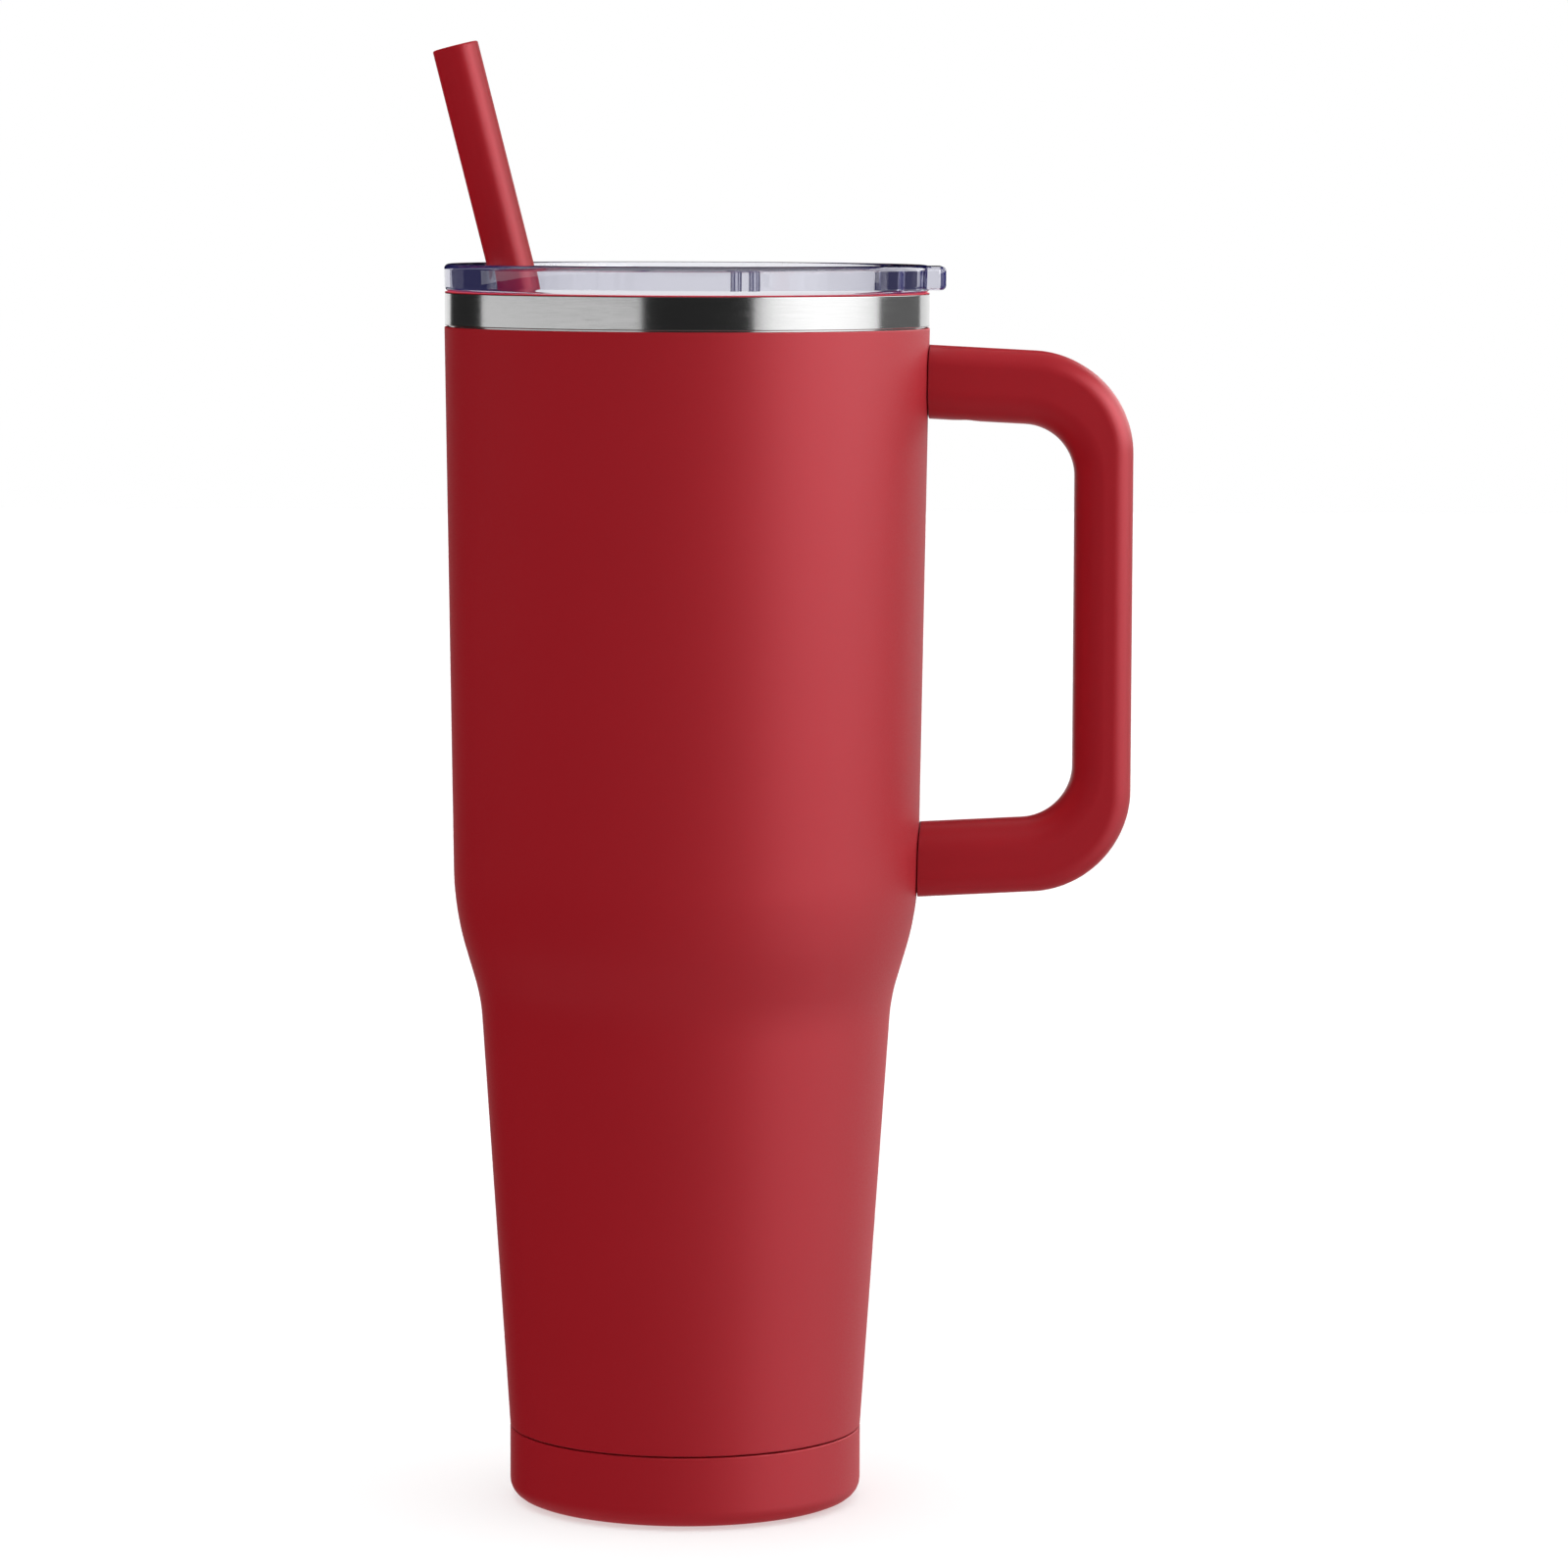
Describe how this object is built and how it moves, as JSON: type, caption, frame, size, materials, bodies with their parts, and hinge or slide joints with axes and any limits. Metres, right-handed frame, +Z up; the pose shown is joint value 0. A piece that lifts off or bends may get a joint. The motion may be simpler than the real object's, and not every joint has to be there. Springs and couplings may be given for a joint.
{
  "type": "insulated travel mug",
  "caption": "Tall vacuum-walled steel travel mug with a tapered cup-holder base, side handle, clear press-in lid with a slide closure, and a leaning straw.",
  "frame": {"origin": "middle of the foot pad's underside, on the mug's turning axis", "axes": "+Z up along the mug's turning axis, +X from the axis towards the handle, +Y completes the right-handed frame"},
  "size_m": [0.1457, 0.1012, 0.306],
  "materials": {
    "powder_coat": "satin red powder coat with a very fine orange peel",
    "liner_steel": "stainless steel, brushed round the lip and inside",
    "copper_foil": "thin bright copper foil",
    "plain_steel": "plain stamped stainless steel",
    "glass_solder": "dark fused glass bead",
    "getter_metal": "pressed getter pellet, dull grey",
    "boot_plastic": "satin red moulded boot",
    "pad_rubber": "dark red non-slip silicone pad",
    "handle_plastic": "satin red moulded plastic",
    "screw_steel": "stainless machine screw",
    "plug_plastic": "satin red plug",
    "lid_clear": "clear moulded copolyester with a faint blue-violet tint",
    "gasket_silicone": "soft red silicone",
    "slider_clear": "clear moulded plastic, lightly frosted",
    "straw_plastic": "satin red extruded plastic"
  },
  "bodies": {
    "vessel": {"outer_shell": "powder_coat", "inner_liner": "liner_steel", "heat_shield_foil": "copper_foil", "base_plate": "plain_steel", "seal_bead": "glass_solder", "getter": "getter_metal", "base_cap": "boot_plastic", "base_pad": "pad_rubber", "handle": "handle_plastic", "handle_bracket_upper": "plain_steel", "handle_bracket_lower": "plain_steel", "handle_screw_upper": "screw_steel", "handle_screw_lower": "screw_steel", "screw_plug_upper": "plug_plastic", "screw_plug_lower": "plug_plastic"},
    "lid": {"lid": "lid_clear", "lid_gasket": "gasket_silicone"},
    "slider": {"lid_slider": "slider_clear"},
    "straw": {"straw": "straw_plastic"}
  },
  "joints": [
    {"name": "lid_lift", "type": "slide", "parent": "vessel", "child": "lid", "axis": [0, 0, 1], "range_m": [0, 0.26]},
    {"name": "slider_open", "type": "slide", "parent": "lid", "child": "slider", "axis": [-1, 0, 0], "range_m": [0, 0.016]},
    {"name": "straw_pull", "type": "slide", "parent": "lid", "child": "straw", "axis": [-0.2451, 0, 0.9695], "range_m": [0, 0.26]}
  ]
}
